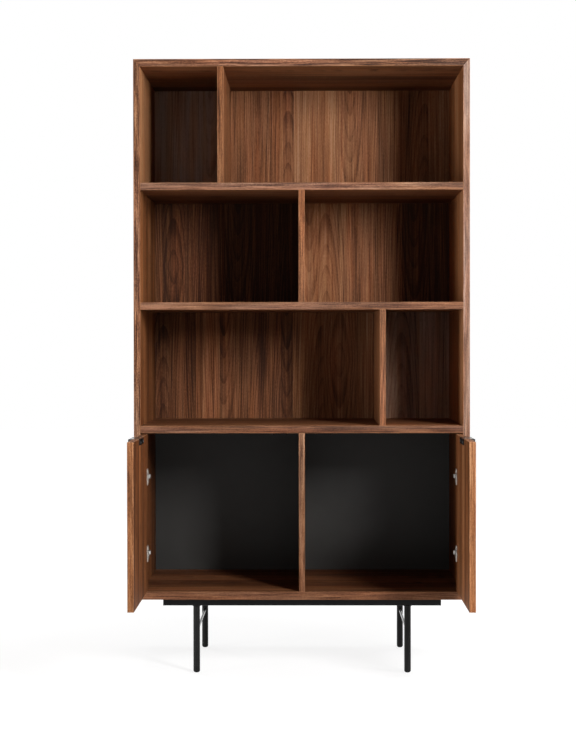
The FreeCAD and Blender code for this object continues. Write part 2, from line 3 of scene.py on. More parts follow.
import json
import logging
import math
from dataclasses import dataclass
from enum import Enum
from functools import partial, partialmethod, reduce
from itertools import product
from typing import Iterator, Mapping, Optional, Sequence, Union

import bpy
import numpy as np
from mathutils import Matrix, Vector

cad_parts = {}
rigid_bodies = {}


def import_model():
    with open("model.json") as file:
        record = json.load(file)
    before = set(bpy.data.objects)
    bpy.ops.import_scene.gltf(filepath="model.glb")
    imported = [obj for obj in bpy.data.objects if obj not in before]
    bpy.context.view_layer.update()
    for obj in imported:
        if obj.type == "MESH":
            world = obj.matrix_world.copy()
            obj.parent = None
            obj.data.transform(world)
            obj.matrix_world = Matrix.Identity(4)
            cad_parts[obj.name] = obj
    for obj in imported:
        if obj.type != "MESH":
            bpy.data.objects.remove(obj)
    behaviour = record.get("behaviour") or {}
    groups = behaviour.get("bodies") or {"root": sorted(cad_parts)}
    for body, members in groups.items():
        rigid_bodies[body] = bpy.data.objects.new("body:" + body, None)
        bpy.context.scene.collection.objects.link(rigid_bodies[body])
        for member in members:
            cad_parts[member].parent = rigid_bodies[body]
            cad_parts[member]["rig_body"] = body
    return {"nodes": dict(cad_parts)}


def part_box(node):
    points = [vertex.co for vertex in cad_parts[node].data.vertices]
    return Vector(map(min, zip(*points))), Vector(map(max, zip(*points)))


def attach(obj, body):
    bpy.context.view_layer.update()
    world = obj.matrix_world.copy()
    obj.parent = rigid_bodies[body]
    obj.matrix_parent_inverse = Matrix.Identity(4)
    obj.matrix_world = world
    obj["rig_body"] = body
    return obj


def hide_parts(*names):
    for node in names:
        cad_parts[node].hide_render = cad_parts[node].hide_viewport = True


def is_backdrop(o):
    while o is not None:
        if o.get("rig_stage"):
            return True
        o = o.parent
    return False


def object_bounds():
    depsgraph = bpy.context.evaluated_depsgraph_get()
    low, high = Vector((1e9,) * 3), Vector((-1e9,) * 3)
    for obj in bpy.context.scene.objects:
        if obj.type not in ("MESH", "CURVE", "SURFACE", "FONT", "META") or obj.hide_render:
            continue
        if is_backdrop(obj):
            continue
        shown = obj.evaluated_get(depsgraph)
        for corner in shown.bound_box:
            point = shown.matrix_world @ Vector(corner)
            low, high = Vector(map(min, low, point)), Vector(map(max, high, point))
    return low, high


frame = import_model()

LOG = logging.getLogger("bookcase")
SIDES = ("left", "right")

Material = bpy.types.Material
Node = bpy.types.Node
NodeTree = bpy.types.NodeTree
Socket = bpy.types.NodeSocket
Value = Union[Socket, float]
Feed = Union[Socket, float, Sequence[float]]
Inputs = Mapping[Union[int, str], Feed]
Stops = Sequence[tuple[float, Sequence[float]]]
Pair = tuple[float, float]
Point = tuple[float, float, float]
Colour = tuple[float, float, float]
Surface = tuple[np.ndarray, np.ndarray]
WHITE: Colour = (1.0, 1.0, 1.0)


class Axis(Enum):
    """A direction of the frame."""

    X = 0
    Y = 1
    Z = 2

    def unit(self) -> np.ndarray:
        """The direction as a vector of length one."""
        return np.eye(3)[self.value]


class Figure(Enum):
    """What a leaf of veneer shows, as the number that its place in the layup carries."""

    VALLEY = 0.0
    EYE = 0.5
    FLAME = 1.0


class NodeGraph:
    """Adds nodes to one node tree and hands back their output sockets.

    A colour is three numbers and is given full alpha where it is set. Sums that come up often have
    names of their own, such as times, minus and over.
    """

    def __init__(self, tree: NodeTree) -> None:
        """Keeps the tree that the nodes go into."""
        self.tree = tree

    def node(self, kind: str, inputs: Optional[Inputs] = None, **settings: object) -> Node:
        """Adds one node.

        Args:
            kind: the node's type.
            inputs: what its sockets are fed, by their numbers or names: other sockets or constants.
            settings: attributes to set on it.

        Returns:
            The new node.
        """
        made = self.tree.nodes.new(kind)
        for name, value in settings.items():
            setattr(made, name, value)
        for key, value in (inputs or {}).items():
            socket = made.inputs[key]
            if isinstance(value, Socket):
                self.tree.links.new(value, socket)
            else:
                socket.default_value = (*value, 1.0) if socket.type == "RGBA" else value
        return made

    def math(self, operation: str, *values: Value) -> Socket:
        """One sum of numbers, named as the node names it."""
        return self.node("ShaderNodeMath", dict(enumerate(values)), operation=operation).outputs[0]

    times = partialmethod(math, "MULTIPLY")
    minus = partialmethod(math, "SUBTRACT")
    over = partialmethod(math, "DIVIDE")
    scaled = partialmethod(math, "MULTIPLY_ADD")
    size = partialmethod(math, "ABSOLUTE")
    least = partialmethod(math, "MINIMUM")
    most = partialmethod(math, "MAXIMUM")
    above = partialmethod(math, "GREATER_THAN")

    def total(self, *terms: Value) -> Socket:
        """Adds several numbers up, from the first to the last."""
        return reduce(partial(self.math, "ADD"), terms)

    def swing(self, share: Value, amount: float) -> Socket:
        """Turns a number around one half into one around zero, times an amount."""
        return self.times(self.minus(share, 0.5), amount)

    def mix(self, share: Value, low: Value, high: Value) -> Socket:
        """A number from the low one, where the share is zero, to the high one, where it is one."""
        return self.node("ShaderNodeMix", {0: share, 2: low, 3: high}, data_type="FLOAT").outputs[0]

    def blend(self, share: Value, low: Feed, high: Feed, mode: str = "MIX") -> Socket:
        """A colour from the low one to the high one, or a share of the high one laid over in a mode."""
        inputs = {0: share, 6: low, 7: high}
        return self.node("ShaderNodeMix", inputs, data_type="RGBA", blend_type=mode).outputs[2]

    def faded(self, colour: Socket, share: Value) -> Socket:
        """A colour with a share of its saturation taken away."""
        inputs = {"Saturation": self.minus(1.0, share), "Color": colour}
        return self.node("ShaderNodeHueSaturation", inputs).outputs[0]

    def step(self, value: Value, low: float, high: float) -> Socket:
        """Zero below the low number, one above the high one, and a soft rise between them."""
        inputs = {"Value": value, "From Min": low, "From Max": high}
        return self.node("ShaderNodeMapRange", inputs, interpolation_type="SMOOTHSTEP").outputs[0]

    def vector(self, *parts: Value) -> Socket:
        """Puts three numbers together."""
        return self.node("ShaderNodeCombineXYZ", dict(enumerate(parts))).outputs[0]

    def split(self, vector: Socket) -> tuple[Socket, Socket, Socket]:
        """Takes a vector apart."""
        return tuple(self.node("ShaderNodeSeparateXYZ", {0: vector}).outputs)

    def stretch(self, vector: Socket, factors: Point) -> Socket:
        """Multiplies a vector by a factor in each direction."""
        return self.node("ShaderNodeVectorMath", {0: vector, 1: factors}, operation="MULTIPLY").outputs[0]

    def noise(self, place: Socket, scale: float, detail: float = 2.0, roughness: float = 0.5) -> Socket:
        """Soft noise around one half, with finer layers of some roughness over it by its detail."""
        inputs = {"Vector": place, "Scale": scale, "Detail": detail, "Roughness": roughness}
        return self.node("ShaderNodeTexNoise", inputs).outputs["Fac"]

    def noise_line(self, place: Socket, scale: float) -> Socket:
        """Soft noise along one number."""
        inputs = {"W": place, "Scale": scale, "Detail": 1.0}
        return self.node("ShaderNodeTexNoise", inputs, noise_dimensions="1D").outputs["Fac"]

    def chance(self, place: Socket) -> Socket:
        """A number from zero to one that is another for each value of the place."""
        return self.node("ShaderNodeTexWhiteNoise", {"W": place}, noise_dimensions="1D").outputs["Value"]

    def ramp(self, share: Socket, stops: Stops, steps: bool = False) -> Mapping[str, Socket]:
        """A row of colours.

        Args:
            share: where to read the row, from zero to one.
            stops: the place and colour of each stop, in order.
            steps: whether each colour holds until the next stop.

        Returns:
            The ramp's outputs, Color and Alpha.
        """
        made = self.node("ShaderNodeValToRGB", {0: share})
        row = made.color_ramp
        row.interpolation = "CONSTANT" if steps else "LINEAR"
        while len(row.elements) < len(stops):
            row.elements.new(1.0)
        for element, (place, colour) in zip(row.elements, stops):
            element.position = place
            element.color = (*colour, 1.0)[:4]
        return made.outputs

    def bump(self, height: Socket, distance: float, strength: float) -> Socket:
        """A normal that follows a height, whose full range stands for the distance in metres."""
        inputs = {"Strength": strength, "Distance": distance, "Height": height}
        return self.node("ShaderNodeBump", inputs).outputs["Normal"]

    def place(self, turn: Matrix, middle: Sequence[float]) -> tuple[Socket, Socket]:
        """The object's own coordinates and normal, turned to a board's directions.

        Args:
            turn: the rows are the board's directions.
            middle: the point that becomes the origin.

        Returns:
            The place and the normal.
        """
        source = self.node("ShaderNodeTexCoord").outputs
        angles = tuple(turn.to_euler("XYZ"))
        spot = {"Vector": source["Object"], "Rotation": angles, "Location": tuple(-(turn @ Vector(middle)))}
        facing = {"Vector": source["Normal"], "Rotation": angles}
        return (
            self.node("ShaderNodeMapping", spot, vector_type="POINT").outputs[0],
            self.node("ShaderNodeMapping", facing, vector_type="VECTOR").outputs[0],
        )

    def here(self) -> Socket:
        """The object's own coordinates."""
        return self.place(Matrix.Identity(3), (0.0, 0.0, 0.0))[0]


def emptied(owner: Union[Material, bpy.types.World]) -> NodeTree:
    """Switches nodes on and takes out those that are there.

    Args:
        owner: the material or world.

    Returns:
        Its empty tree.
    """
    owner.use_nodes = True
    owner.node_tree.nodes.clear()
    return owner.node_tree


class MaterialGraph(NodeGraph):
    """The graph of a new material."""

    def __init__(self, name: str) -> None:
        """Makes the material, with no nodes in it yet."""
        self.material = bpy.data.materials.new(name)
        super().__init__(emptied(self.material))

    def close(self, surface: Socket) -> Material:
        """Ends the graph with a surface and hands back the material."""
        self.node("ShaderNodeOutputMaterial", {"Surface": surface})
        return self.material

    def coat(
        self, colour: Socket, roughness: Socket, normal: Socket, gloss: float = 0.5, metal: float = 0.0
    ) -> Material:
        """Ends the graph with a principled surface.

        Args:
            colour: the base colour.
            roughness: the roughness.
            normal: the normal.
            gloss: the level of the plain reflection.
            metal: one for metal.

        Returns:
            The material.
        """
        return self.close(self.node("ShaderNodeBsdfPrincipled", {
            "Base Color": colour, "Roughness": roughness, "Normal": normal, "Specular IOR Level": gloss,
            "Metallic": metal,
        }).outputs["BSDF"])


@dataclass(frozen=True)
class Mark:
    """Noise that is drawn out along the grain, with its weights on a board's edges and on its faces."""

    run: float
    scale: float
    detail: float
    roughness: float = 0.5
    weight: Pair = (0.0, 0.0)

    def draw(self, graph: NodeGraph, across: Socket, along: Socket, lot: Socket) -> Socket:
        """The noise at a place across and along the grain, in a lot of its own."""
        place = graph.vector(across, graph.times(along, self.run), lot)
        return graph.noise(place, self.scale, self.detail, self.roughness)


@dataclass(frozen=True)
class Walnut:
    """The colours and grain of the veneer, shared by every board.

    Lengths are metres. A weight holds a number for edges and one for faces, and a bend holds how far
    the slow wander and the ripple push the lines aside.
    """

    heart: Colour = (0.042, 0.0135, 0.0052)
    late: Colour = (0.116, 0.0385, 0.0128)
    body: Colour = (0.228, 0.083, 0.0285)
    early: Colour = (0.332, 0.137, 0.053)
    sap: Colour = (0.425, 0.204, 0.095)
    red_tint: Colour = (1.10, 0.97, 0.88)
    grey_tint: Colour = (0.93, 1.02, 1.10)
    ring_pitch: float = 0.0062
    log_depth: float = 0.034
    taper: float = 0.085
    edge_crown: float = -0.21
    ring_bend: Pair = (0.016, 0.0030)
    fibre_bend: Pair = (0.007, 0.0008)
    ring_weight: Pair = (-0.20, -0.38)
    run_weight: Pair = (1.7, 1.0)
    streak: Mark = Mark(0.018, 125.0, 2.0, 0.55, (0.62, 0.72))
    fibre: Mark = Mark(0.022, 260.0, 4.0, 0.62, (2.0, 1.15))
    hair: Mark = Mark(0.130, 1100.0, 2.0, 0.6, (1.1, 0.66))
    pore: Mark = Mark(0.026, 1900.0, 1.0)
    broad_swing: float = 0.70
    lift: float = 0.07
    pore_share: float = 0.34
    edge_width: float = 0.0016
    # share of sap colour on the arrises: wear, and a painted highlight along each arris
    arris_wear_and_highlight_share: float = 0.34
    roughness: float = 0.60

    def rings(
        self, graph: NodeGraph, bent: Socket, along: Socket, apex: Socket, kind: Socket, seed: Socket
    ) -> Socket:
        """The dark lines of the rings in a leaf.

        A leaf is a slice through a log of rings. At a point x across and z along the grain, the ring
        number is the distance to the log's axis, the root of x squared plus the slice's depth squared,
        plus the log's taper times z, all over the ring pitch. The taper fades with the distance from
        the crown, so that the rings run straight at the flanks. Where the taper rises on both sides of
        the apex the rings close to an eye. Each ring darkens slowly to a line of its own weight.

        Args:
            graph: the graph to add to.
            bent: the distance from the crown, with its wander.
            along: the distance along the grain.
            apex: where the rings turn.
            kind: the number of the leaf's figure.
            seed: the board's seed.

        Returns:
            How dark the line is.
        """
        reach = graph.math("SQRT", graph.scaled(bent, bent, self.log_depth ** 2))
        rise = graph.minus(along, apex)
        lean = graph.scaled(kind, 2.0, -1.0)
        closed = graph.minus(1.0, graph.size(lean))
        climb = graph.scaled(rise, lean, graph.times(graph.size(rise), closed))
        taper = graph.over(self.taper * self.log_depth, reach)
        ring = graph.over(graph.scaled(climb, taper, reach), self.ring_pitch)
        ring = graph.total(ring, graph.times(graph.noise_line(ring, 0.7), 1.3), seed)
        phase = graph.math("FRACT", ring)
        line = graph.times(graph.step(phase, 0.35, 0.92), graph.minus(1.0, graph.step(phase, 0.93, 1.0)))
        weight = graph.scaled(graph.chance(graph.math("FLOOR", ring)), 0.75, 0.25)
        return graph.times(line, weight)

    def rubbed(self, graph: NodeGraph, place: Socket, half: Socket, ripple: Socket) -> Socket:
        """How far a board's arrises are rubbed.

        The distance to the nearest arris is the second smallest of the distances to the three pairs of
        faces, and the ripple makes it uneven. The colour paled along it is partly wear and partly a painted
        highlight.

        Args:
            graph: the graph to add to.
            place: the place from the board's middle.
            half: half the board's size.
            ripple: noise around one half.

        Returns:
            One on the arris, falling to zero over the edge's width.
        """
        reaches, spots = graph.split(half), graph.split(place)
        first, second, third = (graph.minus(reach, graph.size(spot)) for reach, spot in zip(reaches, spots))
        lesser, greater = graph.least(first, second), graph.most(first, second)
        to_edge = graph.most(lesser, graph.least(greater, third))
        uneven = graph.total(graph.swing(ripple, 0.002), to_edge)
        return graph.minus(1.0, graph.step(uneven, 0.0002, self.edge_width))

    def group(self) -> NodeTree:
        """The grain as one node group.

        Noise along the grain bends the distance from the crown, so that rings and fibres wander. The colour
        follows a depth: the board's tone, plus broad clouds, streaks, fibres and hairs, less the lines of
        the rings. Pores and rubbed arrises lie over it, and the arrises' paler line is part wear, part
        painted highlight.

        Returns:
            The group, which takes a board's place, normal, half size, leaf, tone, ash, contrast and
            seed, and gives a colour, a roughness and a height.
        """
        tree = bpy.data.node_groups.new("walnut_veneer", "ShaderNodeTree")
        for direction, kind, names in (
            ("INPUT", "Vector", ("Place", "Facing", "Half")),
            ("INPUT", "Color", ("Leaf",)),
            ("INPUT", "Float", ("Tone", "Ash", "Contrast", "Seed")),
            ("OUTPUT", "Color", ("Colour",)),
            ("OUTPUT", "Float", ("Roughness", "Height")),
        ):
            for name in names:
                tree.interface.new_socket(name, in_out=direction, socket_type=f"NodeSocket{kind}")
        graph = NodeGraph(tree)
        given = graph.node("NodeGroupInput").outputs

        x, y, z = graph.split(given["Place"])
        _, end_on, face_on = graph.split(given["Facing"])
        on_face = graph.above(graph.size(face_on), 0.5)
        on_end = graph.above(graph.size(end_on), 0.5)
        across = graph.mix(on_face, z, x)
        along = graph.mix(on_end, y, x)

        crown, apex, kind = graph.split(given["Leaf"])
        crown = graph.mix(on_face, self.edge_crown, graph.minus(crown, 0.5))
        apex = graph.scaled(apex, 2.0, -1.0)
        lot = graph.scaled(crown, 17.3, given["Seed"])

        drift = graph.vector(graph.times(across, 3.0), along, lot)
        wander, ripple = graph.noise(drift, 1.1, 1.0), graph.noise(drift, 6.0, 1.0)
        level = graph.minus(across, crown)
        bent, straight = (
            graph.total(level, graph.swing(wander, slow), graph.swing(ripple, fast))
            for slow, fast in (self.ring_bend, self.fibre_bend)
        )
        line = self.rings(graph, bent, along, apex, kind, given["Seed"])

        run = graph.times(along, graph.mix(on_face, *self.run_weight))
        marks = {mark: mark.draw(graph, straight, run, lot) for mark in (self.streak, self.fibre, self.hair)}
        fibre = marks[self.fibre]
        pore = graph.step(self.pore.draw(graph, straight, along, lot), 0.60, 0.70)
        clouds = graph.vector(graph.times(bent, 11.0), graph.times(along, 0.9), lot)
        broad, ashen, hue = graph.noise(clouds, 1.6), graph.noise(clouds, 3.7, 1.0), graph.noise(clouds, 2.7)

        figure = graph.total(
            *(
                graph.times(graph.swing(drawn, 1.0), graph.mix(on_face, *mark.weight))
                for mark, drawn in marks.items()
            ),
            graph.times(line, graph.mix(on_face, *self.ring_weight)),
        )
        figure = graph.times(figure, given["Contrast"])
        depth = graph.total(figure, graph.swing(broad, self.broad_swing), given["Tone"], self.lift)
        colour = graph.ramp(depth, (
            (0.0, self.heart), (0.27, self.late), (0.54, self.body), (0.80, self.early), (1.0, self.sap),
        ))["Color"]
        tint = graph.ramp(hue, ((0.30, self.red_tint), (0.50, WHITE), (0.70, self.grey_tint)))["Color"]
        colour = graph.blend(1.0, colour, tint, "MULTIPLY")
        # the ash greys the colour in patches; on the edges this grey is painted sheen
        patchy = graph.scaled(graph.step(ashen, 0.32, 0.66), 0.5, 0.5)
        colour = graph.faded(colour, graph.times(patchy, given["Ash"]))
        colour = graph.blend(graph.times(pore, self.pore_share), colour, self.heart)
        # the arrises pale towards sap: part wear, part painted highlight
        rubbed = self.rubbed(graph, given["Place"], given["Half"], ripple)
        colour = graph.blend(graph.times(rubbed, self.arris_wear_and_highlight_share), colour, self.sap)

        rough = graph.total(
            self.roughness, graph.swing(fibre, 0.16), graph.times(pore, 0.16), graph.times(rubbed, -0.07)
        )
        height = graph.total(graph.swing(fibre, 0.5), graph.times(pore, -0.8), graph.times(line, -0.25))
        graph.node("NodeGroupOutput", {"Colour": colour, "Roughness": rough, "Height": height})
        return tree


@dataclass(frozen=True)
class Leaf:
    """One leaf of veneer on a board.

    The start and the crown are metres across the grain, and the apex is metres along it, all in the
    frame. The tone is from zero, dark, to one, pale, and the ash from zero, warm, to one, grey.
    """

    start: float
    crown: float
    apex: float
    figure: Figure
    tone: float
    ash: float = 0.05


@dataclass(frozen=True)
class Layup:
    """Leaves side by side across a board."""

    leaves: tuple[Leaf, ...]

    @classmethod
    def of(cls, *rows: tuple) -> "Layup":
        """Leaves from rows of their values."""
        return cls(tuple(Leaf(*row) for row in rows))

    @classmethod
    def mixed(
        cls, low: float, high: float, middle: float, seed: int, tone: float = 0.5,
        leaf_width: float = 0.08, ash: float = Leaf.ash,
    ) -> "Layup":
        """Leaves of uneven width with a figure each, the same for the same seed.

        Args:
            low: where the first leaf starts across the board.
            high: where the last one ends.
            middle: the board's middle along the grain.
            seed: which pick of leaves this is.
            tone: the leaves' mean tone.
            leaf_width: the leaves' mean width.
            ash: the leaves' ash, which below zero is a warmer colour.

        Returns:
            The leaves in order.
        """
        pick = np.random.default_rng(seed)
        count = max(1, round((high - low) / leaf_width))
        widths = pick.uniform(0.7, 1.3, count)
        ends = low + (high - low) * np.cumsum(widths) / widths.sum()
        starts = np.concatenate(([low], ends[:-1]))
        crowns = starts + (ends - starts) * pick.uniform(-1.3, 2.3, count)
        apexes = middle + pick.uniform(-0.35, 0.35, count)
        figures = pick.choice(list(Figure), count, p=[0.4, 0.2, 0.4])
        tones = tone + pick.uniform(-0.13, 0.13, count)
        return cls(tuple(map(Leaf, starts, crowns, apexes, figures, tones, [ash] * count)))

    def stops(self, across: float, along: float, tone: float) -> tuple[Stops, Stops]:
        """The leaves as the stops of two stepped ramps.

        Args:
            across: the board's middle across the grain.
            along: the board's middle along the grain.
            tone: what is added to each leaf's tone.

        Returns:
            Stops whose colours hold the crown, the apex and the figure and whose alpha is the tone, and
            stops whose alpha is the ash.
        """
        starts = [min(max(leaf.start - across + 0.5, 0.0), 1.0) for leaf in self.leaves]
        shapes = [
            (leaf.crown - across + 0.5, (leaf.apex - along + 1.0) / 2, leaf.figure.value, leaf.tone + tone)
            for leaf in self.leaves
        ]
        ashes = [(0.0, 0.0, 0.0, leaf.ash) for leaf in self.leaves]
        return list(zip(starts, shapes)), list(zip(starts, ashes))


Bands = tuple[tuple[float, Layup], ...]


@dataclass(frozen=True)
class VeneerBoard:
    """The finish of one board: which way it faces, which way its grain runs, and its leaves.

    Each band is a layup and the level along the grain from which it holds, the lowest first. The bands hold
    on the face that looks along the board's turned third direction times the banded sign, and the first of
    them on the other face. The edges have a tone, a grey and a contrast of their own, and the edge grey is
    painted sheen.
    """

    node: str
    face: Axis
    grain: Axis
    seed: int
    tone: float = 0.0
    edge_tone: float = 0.5
    edge_sheen_grey: float = 0.20
    edge_contrast: float = 1.0
    bands: Bands = ()
    banded: float = 1.0

    def directions(self) -> Matrix:
        """The board's directions as rows: across the grain, along it, and out of the face."""
        across = next(axis for axis in Axis if axis not in (self.face, self.grain))
        rows = [across.unit(), self.grain.unit(), np.cross(across.unit(), self.grain.unit())]
        return Matrix(np.array(rows).tolist())

    def drawn(
        self, graph: NodeGraph, share: Socket, layup: Layup, spot: Vector
    ) -> tuple[Socket, Socket, Socket]:
        """Reads one layup across the board.

        Args:
            graph: the graph to add to.
            share: the place across the board, one half at its middle.
            layup: the leaves.
            spot: the board's middle in its own directions.

        Returns:
            The leaf, the tone and the ash.
        """
        shapes, ashes = layup.stops(spot[0], spot[1], self.tone)
        shape = graph.ramp(share, shapes, steps=True)
        return shape["Color"], shape["Alpha"], graph.ramp(share, ashes, steps=True)["Alpha"]

    def dress(self, grain_group: NodeTree) -> Material:
        """Puts the veneer on the board.

        Args:
            grain_group: the node group of the walnut.

        Returns:
            The board's own material.
        """
        low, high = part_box(self.node)
        middle = (low + high) / 2
        turn = self.directions()
        spot = turn @ middle
        half = tuple(abs(size) for size in turn @ (high - low) / 2)
        plain = Layup.mixed(spot[0] - half[0], spot[0] + half[0], spot[1], self.seed)
        (_, first), *others = self.bands or ((-1.0, plain),)

        graph = MaterialGraph(f"walnut_{self.node}")
        place, facing = graph.place(turn, middle)
        x, y, _ = graph.split(place)
        _, _, out = graph.split(facing)
        share = graph.total(x, 0.5)
        front = graph.above(graph.times(out, self.banded), 0.5)
        leaf, tone, ash = self.drawn(graph, share, first, spot)
        for level, layup in others:
            upper_leaf, upper_tone, upper_ash = self.drawn(graph, share, layup, spot)
            above = graph.times(front, graph.above(y, level - spot[1]))
            leaf = graph.blend(above, leaf, upper_leaf)
            tone = graph.mix(above, tone, upper_tone)
            ash = graph.mix(above, ash, upper_ash)

        on_face = graph.above(graph.size(out), 0.5)
        grain = graph.node("ShaderNodeGroup", {
            "Place": place, "Facing": facing, "Half": half, "Leaf": leaf, "Seed": float(self.seed),
            "Tone": graph.mix(on_face, self.edge_tone, tone),
            "Ash": graph.mix(on_face, self.edge_sheen_grey, ash),
            "Contrast": graph.mix(on_face, self.edge_contrast, 1.0),
        }, node_tree=grain_group).outputs
        normal = graph.bump(grain["Height"], 0.0003, 0.35)
        return graph.coat(grain["Colour"], grain["Roughness"], normal, 0.11)


@dataclass(frozen=True)
class Laminate:
    """Black melamine board: a fine pearled surface with a little bloom."""

    name: str = "black_laminate"
    colour: Colour = (0.0312, 0.0302, 0.0282)
    bloom: Colour = (0.0425, 0.0415, 0.0394)

    def material(self) -> Material:
        """Makes the laminate.

        Returns:
            The material.
        """
        graph = MaterialGraph(self.name)
        place = graph.here()
        cloud, pearl = graph.noise(place, 5.0, 3.0), graph.noise(place, 900.0)
        colour = graph.blend(graph.step(cloud, 0.35, 0.75), self.colour, self.bloom)
        rough = graph.total(0.5, graph.swing(cloud, 0.12), graph.swing(pearl, 0.1))
        return graph.coat(colour, rough, graph.bump(pearl, 0.0001, 0.25), 0.3)


@dataclass(frozen=True)
class PowderCoat:
    """Matt black powder on steel: orange peel, a fine grit and faint rubbed patches."""

    name: str = "black_powder_coat"
    colour: Colour = (0.0050, 0.0050, 0.0052)
    rubbed: Colour = (0.0100, 0.0100, 0.0103)
    roughness: float = 0.46
    gloss: float = 0.15

    def material(self) -> Material:
        """Makes the powder coat.

        Returns:
            The material.
        """
        graph = MaterialGraph(self.name)
        place = graph.here()
        peel, grit = graph.noise(place, 420.0), graph.noise(place, 2400.0, 1.0)
        worn = graph.noise(place, 9.0, 4.0, 0.6)
        colour = graph.blend(graph.step(worn, 0.50, 0.80), self.colour, self.rubbed)
        rough = graph.total(self.roughness, graph.swing(worn, 0.16), graph.swing(grit, 0.10))
        height = graph.total(graph.swing(peel, 1.0), graph.swing(grit, 0.4))
        return graph.coat(colour, rough, graph.bump(height, 0.00012, 0.3), self.gloss)


@dataclass(frozen=True)
class MouldedPlastic:
    """Black moulded plastic with a spark-eroded grain."""

    name: str = "black_moulded_plastic"
    colour: Colour = (0.0055, 0.0055, 0.0055)
    scuffed: Colour = (0.012, 0.012, 0.0115)

    def material(self) -> Material:
        """Makes the plastic.

        Returns:
            The material.
        """
        graph = MaterialGraph(self.name)
        place = graph.here()
        spark, scuff = graph.noise(place, 1500.0, 3.0, 0.7), graph.noise(place, 160.0, 3.0, 0.7)
        colour = graph.blend(graph.step(scuff, 0.58, 0.75), self.colour, self.scuffed)
        rough = graph.total(0.5, graph.swing(spark, 0.25))
        return graph.coat(colour, rough, graph.bump(spark, 0.00008, 0.3), 0.15)


@dataclass(frozen=True)
class PlatedSteel:
    """Pressed and plated steel: drawn lines, a cloudy plating and finger marks in its roughness."""

    name: str
    colour: Colour
    shade: Colour
    roughness: float

    def material(self) -> Material:
        """Makes the plated steel.

        Returns:
            The material.
        """
        graph = MaterialGraph(self.name)
        place = graph.here()
        drawn = graph.noise(graph.stretch(place, (1.0, 1.0, 0.06)), 1400.0)
        cloud, marks = graph.noise(place, 70.0, 3.0), graph.noise(place, 210.0, 4.0, 0.65)
        share = graph.total(graph.swing(drawn, 0.5), cloud)
        colour = graph.blend(graph.step(share, 0.3, 0.75), self.shade, self.colour)
        rough = graph.total(self.roughness, graph.swing(marks, 0.22), graph.swing(drawn, 0.08))
        return graph.coat(colour, rough, graph.bump(drawn, 0.00004, 0.25), metal=1.0)


@dataclass(frozen=True)
class Beech:
    """Plain beech of the hidden joints: a pale ground with short brown flecks."""

    name: str = "beech"
    ground: Colour = (0.52, 0.34, 0.20)
    fleck: Colour = (0.30, 0.16, 0.08)

    def material(self) -> Material:
        """Makes the beech.

        Returns:
            The material.
        """
        graph = MaterialGraph(self.name)
        place = graph.here()
        fleck = graph.step(graph.noise(graph.stretch(place, (0.3, 1.0, 1.0)), 900.0, 1.0), 0.58, 0.70)
        cloud = graph.noise(place, 30.0)
        ground = graph.blend(graph.swing(cloud, 0.5), self.ground, self.fleck)
        rough = graph.total(0.6, graph.swing(cloud, 0.15))
        return graph.coat(graph.blend(fleck, ground, self.fleck), rough, graph.bump(fleck, 0.0001, 0.3), 0.3)


class Finishes:
    """The finishes that several pieces share, each made once."""

    def __init__(self) -> None:
        """Makes the shared materials."""
        self.grain = Walnut().group()
        self.laminate = Laminate().material()
        self.steel = PowderCoat().material()
        # a lighter copy of the black powder coat for the legs: painted light, so the round legs read paler
        # than the rails
        self.leg_steel_painted_light = PowderCoat("black_leg_coat_painted_light", (0.0085,) * 3, (0.0140,) * 3).material()
        self.rod_steel = PowderCoat("black_rod_coat", roughness=0.22, gloss=0.5).material()
        self.plastic = MouldedPlastic().material()
        self.bright = PlatedSteel("nickel_plate", (0.74, 0.70, 0.65), (0.56, 0.53, 0.49), 0.44).material()
        # a darker, rougher copy of the nickel plate for the hinge arms and plates: its darker colour is
        # painted shade
        self.dull_shaded_nickel = PlatedSteel("dull_shaded_nickel_plate", (0.46, 0.44, 0.42), (0.33, 0.32, 0.30), 0.52).material()
        self.blackened = PlatedSteel("black_zinc", (0.10, 0.10, 0.105), (0.05, 0.05, 0.05), 0.38).material()
        self.beech = Beech().material()


def dress(node: str, material: Material) -> None:
    """Puts a material on every slot of a frame node."""
    for slot in frame["nodes"][node].material_slots:
        slot.material = material
    LOG.info("dressed %s in %s", node, material.name)


def place_piece(name: str, points: np.ndarray, faces: np.ndarray) -> bpy.types.Object:
    """Makes an object at the origin from points and faces.

    Args:
        name: the piece's name.
        points: one row of three metres for each point.
        faces: one row of four point numbers for each face, the last two equal in a triangle.

    Returns:
        The smooth-shaded object.
    """
    mesh = bpy.data.meshes.new(name)
    pointed = faces[:, 2] == faces[:, 3]
    mesh.from_pydata(points.tolist(), [], faces[~pointed].tolist() + faces[pointed, :3].tolist())
    mesh.polygons.foreach_set("use_smooth", np.ones(len(faces), bool))
    mesh.validate()
    mesh.update()
    made = bpy.data.objects.new(name, mesh)
    bpy.context.scene.collection.objects.link(made)
    return made


def grid_faces(rows: int, columns: int, around: bool, through: bool) -> np.ndarray:
    """The four-sided faces of a grid of points.

    Args:
        rows: how many rows of points there are.
        columns: how many points there are in a row.
        around: whether each row closes on itself.
        through: whether the last row joins the first.

    Returns:
        The faces, as numbers of points counted row by row.
    """
    row = np.arange(rows if through else rows - 1)[:, None]
    column = np.arange(columns if around else columns - 1)[None, :]
    next_row = (row + 1) % rows
    next_column = (column + 1) % columns
    corners = (
        row * columns + column, row * columns + next_column,
        next_row * columns + next_column, next_row * columns + column,
    )
    return np.stack([np.broadcast_to(c, (row.size, column.size)) for c in corners], -1).reshape(-1, 4)


def joined(surfaces: Sequence[Surface]) -> Surface:
    """Puts several surfaces into one.

    Args:
        surfaces: the points and the faces of each.

    Returns:
        All points, and all faces with their point numbers moved on.
    """
    counts = np.cumsum([0] + [len(points) for points, _ in surfaces])
    points = np.concatenate([points for points, _ in surfaces])
    faces = np.concatenate([faces + count for (_, faces), count in zip(surfaces, counts)])
    return points, faces


